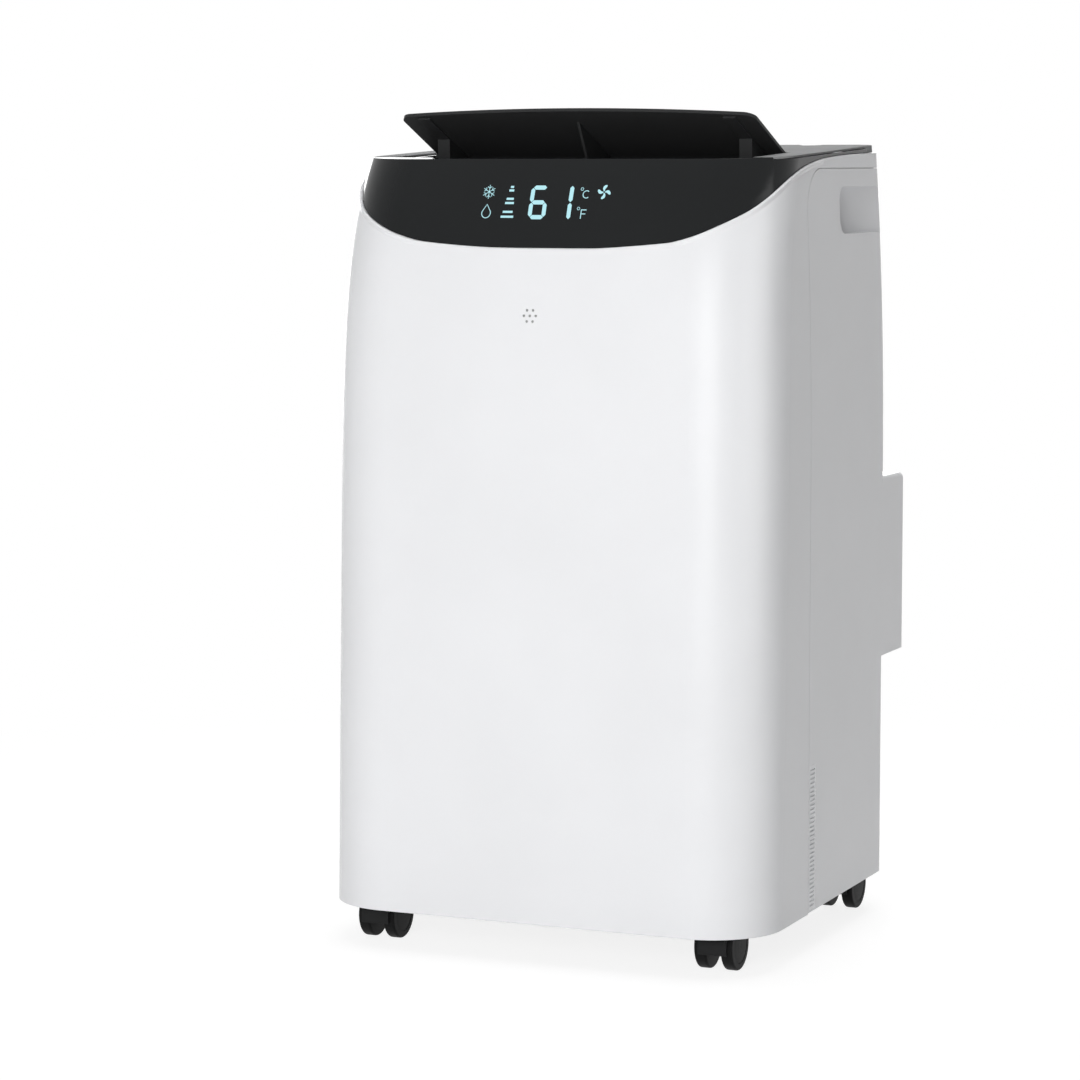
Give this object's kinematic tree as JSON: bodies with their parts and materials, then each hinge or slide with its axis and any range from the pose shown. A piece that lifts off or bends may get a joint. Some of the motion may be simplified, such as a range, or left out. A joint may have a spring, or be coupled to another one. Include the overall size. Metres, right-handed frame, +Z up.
{
  "type": "portable air conditioner",
  "caption": "Upright portable air conditioner with a rolled-back front, dark display fascia, tilting outlet flap, rear intake grilles, hose collar and swivel casters.",
  "frame": {"origin": "floor level under the middle of the outline in plan", "axes": "+Z up, -Y out of the front face, +X to the right of someone facing the front"},
  "size_m": [0.43, 0.416, 0.7604],
  "materials": {
    "white_shell": "satin white moulding",
    "lid_grey": "fine matt light grey moulding",
    "dark_gloss": "glossy tinted dark moulding",
    "black_plastic": "matt black moulding",
    "caster_plastic": "matt black moulding",
    "wheel_plastic": "matt black nylon",
    "steel": "turned steel",
    "motor_metal": "zinc coated can",
    "circuit_board": "green solder mask",
    "display_face": "dark lens with lit segments",
    "inner_plastic": "plain dark grey moulding",
    "grille_white": "matt white moulding",
    "filter_grey": "woven screen in a frame",
    "rubber": "black rubber",
    "coil_fins": "thin fins",
    "compressor_black": "black enamel",
    "copper": "drawn copper tube",
    "box_metal": "galvanised sheet"
  },
  "bodies": {
    "chassis": {"accumulator": "compressor_black", "base_pan": "inner_plastic", "compressor": "compressor_black", "compressor_feet": "rubber", "condenser_coil": "coil_fins", "control_box": "box_metal", "control_fascia": "dark_gloss", "cord_gland": "rubber", "discharge_line": "copper", "display_board": "circuit_board", "display_module": "display_face", "evaporator_coil": "coil_fins", "exhaust_collar": "black_plastic", "flap_motor": "motor_metal", "front_panel": "white_shell", "housing_screws": "steel", "lower_fan_motor": "motor_metal", "lower_scroll": "inner_plastic", "mid_deck": "inner_plastic", "outlet_duct": "black_plastic", "rear_housing": "white_shell", "side_vents": "white_shell", "suction_line": "copper", "top_cover": "lid_grey", "upper_fan_motor": "motor_metal", "upper_scroll": "inner_plastic"},
    "flap": {"outlet_flap": "black_plastic", "flap_pin": "steel", "flap_shaft": "steel"},
    "vane_1": {"vane_1": "black_plastic"},
    "vane_2": {"vane_2": "black_plastic"},
    "vane_3": {"vane_3": "black_plastic"},
    "vane_4": {"vane_4": "black_plastic"},
    "vane_5": {"vane_5": "black_plastic"},
    "vane_6": {"vane_6": "black_plastic"},
    "vane_bar": {"vane_tie_bar": "black_plastic"},
    "intake_grille": {"upper_grille": "grille_white", "upper_filter": "filter_grey"},
    "condenser_grille": {"lower_grille": "grille_white"},
    "drain_stopper": {"drain_plug": "rubber"},
    "blower": {"upper_fan": "inner_plastic"},
    "exhaust_blower": {"lower_fan": "inner_plastic"},
    "swivel_front_left": {"caster_front_left": "caster_plastic", "axle_front_left": "steel"},
    "swivel_front_right": {"caster_front_right": "caster_plastic", "axle_front_right": "steel"},
    "swivel_rear_left": {"caster_rear_left": "caster_plastic", "axle_rear_left": "steel"},
    "swivel_rear_right": {"caster_rear_right": "caster_plastic", "axle_rear_right": "steel"},
    "roller_front_left_left": {"wheel_front_left_left": "wheel_plastic"},
    "roller_front_left_right": {"wheel_front_left_right": "wheel_plastic"},
    "roller_front_right_left": {"wheel_front_right_left": "wheel_plastic"},
    "roller_front_right_right": {"wheel_front_right_right": "wheel_plastic"},
    "roller_rear_left_left": {"wheel_rear_left_left": "wheel_plastic"},
    "roller_rear_left_right": {"wheel_rear_left_right": "wheel_plastic"},
    "roller_rear_right_left": {"wheel_rear_right_left": "wheel_plastic"},
    "roller_rear_right_right": {"wheel_rear_right_right": "wheel_plastic"}
  },
  "joints": [
    {"name": "flap_tilt", "type": "hinge", "parent": "chassis", "child": "flap", "pos_m": [0, -0.02405, 0.7108], "axis": [-1, 0, 0], "range_deg": [-25, 30]},
    {"name": "vane_1_swing", "type": "hinge", "parent": "chassis", "child": "vane_1", "pos_m": [-0.13, -0.092, 0.64], "axis": [0, 1, 0], "range_deg": [-30, 30]},
    {"name": "vane_2_swing", "type": "hinge", "parent": "chassis", "child": "vane_2", "pos_m": [-0.078, -0.092, 0.64], "axis": [0, 1, 0], "range_deg": [-30, 30]},
    {"name": "vane_3_swing", "type": "hinge", "parent": "chassis", "child": "vane_3", "pos_m": [-0.026, -0.092, 0.64], "axis": [0, 1, 0], "range_deg": [-30, 30]},
    {"name": "vane_4_swing", "type": "hinge", "parent": "chassis", "child": "vane_4", "pos_m": [0.026, -0.092, 0.64], "axis": [0, 1, 0], "range_deg": [-30, 30]},
    {"name": "vane_5_swing", "type": "hinge", "parent": "chassis", "child": "vane_5", "pos_m": [0.078, -0.092, 0.64], "axis": [0, 1, 0], "range_deg": [-30, 30]},
    {"name": "vane_6_swing", "type": "hinge", "parent": "chassis", "child": "vane_6", "pos_m": [0.13, -0.092, 0.64], "axis": [0, 1, 0], "range_deg": [-30, 30]},
    {"name": "vane_bar_shift", "type": "slide", "parent": "chassis", "child": "vane_bar", "axis": [1, 0, 0], "range_m": [-0.0106, 0.0106]},
    {"name": "intake_grille_pull", "type": "slide", "parent": "chassis", "child": "intake_grille", "axis": [0, 1, 0], "range_m": [0, 0.08]},
    {"name": "condenser_grille_pull", "type": "slide", "parent": "chassis", "child": "condenser_grille", "axis": [0, 1, 0], "range_m": [0, 0.08]},
    {"name": "drain_stopper_pull", "type": "slide", "parent": "chassis", "child": "drain_stopper", "axis": [0, 1, 0], "range_m": [0, 0.04]},
    {"name": "blower_spin", "type": "hinge", "parent": "chassis", "child": "blower", "pos_m": [-0.02, -0.092, 0.4755], "axis": [0, 1, 0], "continuous": true},
    {"name": "exhaust_blower_spin", "type": "hinge", "parent": "chassis", "child": "exhaust_blower", "pos_m": [0.097, -0.018, 0.2195], "axis": [1, 0, 0], "continuous": true},
    {"name": "swivel_front_left_turn", "type": "hinge", "parent": "chassis", "child": "swivel_front_left", "pos_m": [-0.165, -0.1665, 0.06], "axis": [0, 0, 1], "continuous": true},
    {"name": "swivel_front_right_turn", "type": "hinge", "parent": "chassis", "child": "swivel_front_right", "pos_m": [0.165, -0.1665, 0.06], "axis": [0, 0, 1], "continuous": true},
    {"name": "swivel_rear_left_turn", "type": "hinge", "parent": "chassis", "child": "swivel_rear_left", "pos_m": [-0.179, 0.124, 0.06], "axis": [0, 0, 1], "continuous": true},
    {"name": "swivel_rear_right_turn", "type": "hinge", "parent": "chassis", "child": "swivel_rear_right", "pos_m": [0.179, 0.124, 0.06], "axis": [0, 0, 1], "continuous": true},
    {"name": "roller_front_left_left_spin", "type": "hinge", "parent": "swivel_front_left", "child": "roller_front_left_left", "pos_m": [-0.165, -0.1585, 0.0225], "axis": [1, 0, 0], "continuous": true},
    {"name": "roller_front_left_right_spin", "type": "hinge", "parent": "swivel_front_left", "child": "roller_front_left_right", "pos_m": [-0.165, -0.1585, 0.0225], "axis": [1, 0, 0], "continuous": true},
    {"name": "roller_front_right_left_spin", "type": "hinge", "parent": "swivel_front_right", "child": "roller_front_right_left", "pos_m": [0.165, -0.1585, 0.0225], "axis": [1, 0, 0], "continuous": true},
    {"name": "roller_front_right_right_spin", "type": "hinge", "parent": "swivel_front_right", "child": "roller_front_right_right", "pos_m": [0.165, -0.1585, 0.0225], "axis": [1, 0, 0], "continuous": true},
    {"name": "roller_rear_left_left_spin", "type": "hinge", "parent": "swivel_rear_left", "child": "roller_rear_left_left", "pos_m": [-0.179, 0.132, 0.0225], "axis": [1, 0, 0], "continuous": true},
    {"name": "roller_rear_left_right_spin", "type": "hinge", "parent": "swivel_rear_left", "child": "roller_rear_left_right", "pos_m": [-0.179, 0.132, 0.0225], "axis": [1, 0, 0], "continuous": true},
    {"name": "roller_rear_right_left_spin", "type": "hinge", "parent": "swivel_rear_right", "child": "roller_rear_right_left", "pos_m": [0.179, 0.132, 0.0225], "axis": [1, 0, 0], "continuous": true},
    {"name": "roller_rear_right_right_spin", "type": "hinge", "parent": "swivel_rear_right", "child": "roller_rear_right_right", "pos_m": [0.179, 0.132, 0.0225], "axis": [1, 0, 0], "continuous": true}
  ],
  "couplings": [
    {"joint": "vane_2_swing", "follows": "vane_1_swing", "ratio": 1},
    {"joint": "vane_3_swing", "follows": "vane_1_swing", "ratio": 1},
    {"joint": "vane_4_swing", "follows": "vane_1_swing", "ratio": 1},
    {"joint": "vane_5_swing", "follows": "vane_1_swing", "ratio": 1},
    {"joint": "vane_6_swing", "follows": "vane_1_swing", "ratio": 1},
    {"joint": "vane_bar_shift", "follows": "vane_1_swing", "m_per_rad": -0.02}
  ]
}
